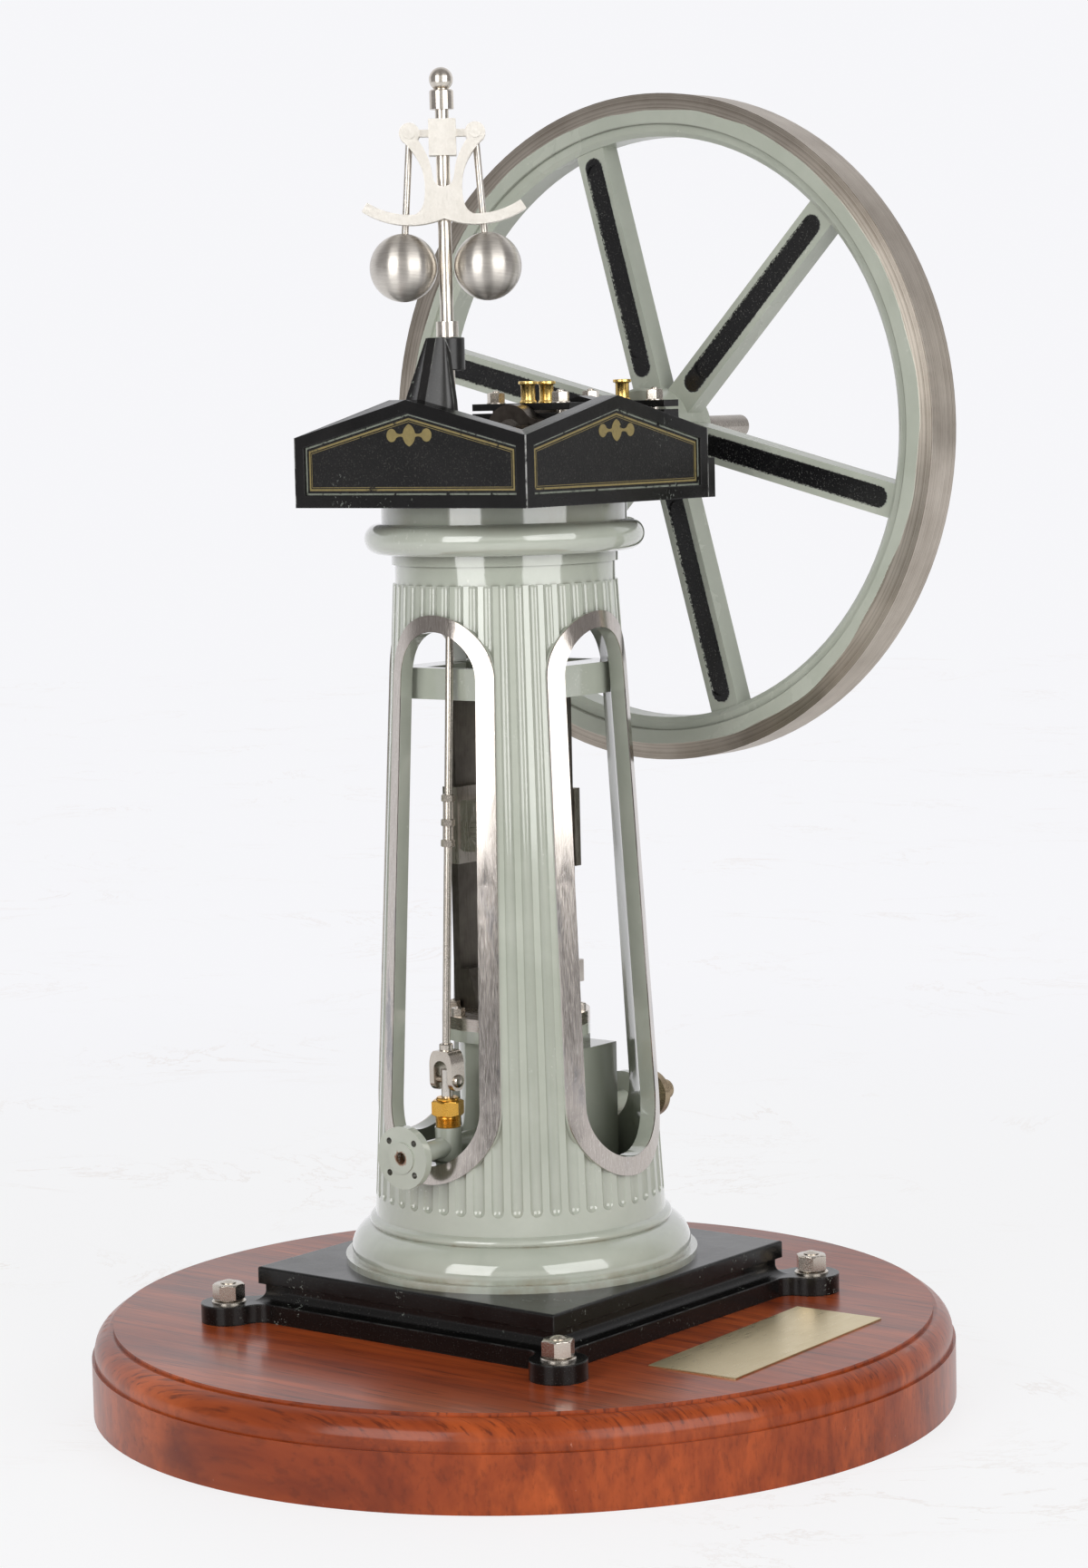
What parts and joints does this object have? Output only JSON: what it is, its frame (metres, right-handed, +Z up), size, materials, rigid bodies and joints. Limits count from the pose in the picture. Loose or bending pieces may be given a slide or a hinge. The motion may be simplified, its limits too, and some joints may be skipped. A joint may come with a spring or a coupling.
{
  "type": "model stationary steam engine",
  "caption": "Model column steam engine: vertical cylinder inside a fluted arched column, crankshaft, spoked flywheel and ball governor on top, on a round wooden plinth.",
  "frame": {"origin": "centre of the plinth's underside", "axes": "+Z up, +Y along the crankshaft from the governor to the flywheel, +X the side the crank points to at rest"},
  "size_m": [0.254, 0.254, 0.3856],
  "materials": {
    "mahogany": "polished mahogany",
    "green_paint": "gloss grey green enamel",
    "black_paint": "gloss black enamel",
    "steel": "turned and brushed bright steel",
    "brass": "bright brass"
  },
  "bodies": {
    "engine": {"plinth": "mahogany", "base_plate": "black_paint", "holding_bolts": "steel", "column": "green_paint", "deck": "black_paint", "gable_right": "black_paint", "gable_rear": "black_paint", "gable_left": "black_paint", "gable_front": "black_paint", "rear_bracket": "black_paint", "pedestal_inner": "black_paint", "pedestal_outer": "black_paint", "cap_inner": "black_paint", "cap_outer": "black_paint", "main_brasses": "brass", "cap_studs": "steel", "oil_cups": "brass", "guide_bars": "steel", "guide_feet": "steel", "guide_ring": "green_paint", "cylinder": "green_paint", "cylinder_cover": "steel", "cover_studs": "steel", "piston_gland": "steel", "steam_chest": "green_paint", "chest_cover_plate": "green_paint", "valve_gland": "brass", "valve_spindle": "steel", "exhaust_pipe": "green_paint", "exhaust_joint_ring": "brass", "throttle_body": "green_paint", "throttle_gland": "brass", "throttle_spindle": "steel", "governor_link": "steel", "clevis_pin": "steel", "governor_stand": "black_paint"},
    "crank": {"crankshaft": "steel", "crank_web": "steel", "return_crank": "steel", "governor_shaft": "steel", "governor_gear": "steel", "flywheel": "green_paint", "eccentric_sheave": "steel"},
    "eccentric": {"eccentric_strap": "steel", "strap_cup": "brass"},
    "crosshead": {"crosshead": "steel", "gudgeon_pin": "steel", "slippers": "brass", "piston_rod": "steel"},
    "rod": {"connecting_rod": "steel", "big_end_brass": "brass", "crankpin": "steel"},
    "governor": {"governor_pinion": "steel", "governor_spindle": "steel", "governor_frame": "steel", "finial": "steel"},
    "arm_left": {"ball_arm_left": "steel"},
    "arm_right": {"ball_arm_right": "steel"}
  },
  "joints": [
    {"name": "crankshaft_spin", "type": "hinge", "parent": "engine", "child": "crank", "pos_m": [0, 0.05, 0.282], "axis": [0, 1, 0], "continuous": true},
    {"name": "eccentric_turn", "type": "hinge", "parent": "crank", "child": "eccentric", "pos_m": [0, 0.0212, 0.2795], "axis": [0, 1, 0], "continuous": true},
    {"name": "crosshead_slide", "type": "slide", "parent": "engine", "child": "crosshead", "axis": [0, 0, 1], "range_m": [-0.0254, 0.0254]},
    {"name": "connecting_rod_swing", "type": "hinge", "parent": "crosshead", "child": "rod", "pos_m": [0, 0, 0.1685], "axis": [0, 1, 0], "range_deg": [-25.23, 0]},
    {"name": "governor_spin", "type": "hinge", "parent": "engine", "child": "governor", "pos_m": [0, -0.0235, 0.327], "axis": [0, 0, 1], "continuous": true},
    {"name": "ball_arm_right_swing", "type": "hinge", "parent": "governor", "child": "arm_right", "pos_m": [0.0072, -0.01769, 0.3672], "axis": [0.628, -0.7782, 0], "range_deg": [0, 30]},
    {"name": "ball_arm_left_swing", "type": "hinge", "parent": "governor", "child": "arm_left", "pos_m": [-0.0072, -0.02931, 0.3672], "axis": [-0.628, 0.7782, 0], "range_deg": [0, 30]}
  ],
  "couplings": [
    {"joint": "eccentric_turn", "follows": "crankshaft_spin", "ratio": -1},
    {"joint": "governor_spin", "follows": "crankshaft_spin", "ratio": -1},
    {"joint": "ball_arm_left_swing", "follows": "ball_arm_right_swing", "ratio": 1}
  ]
}
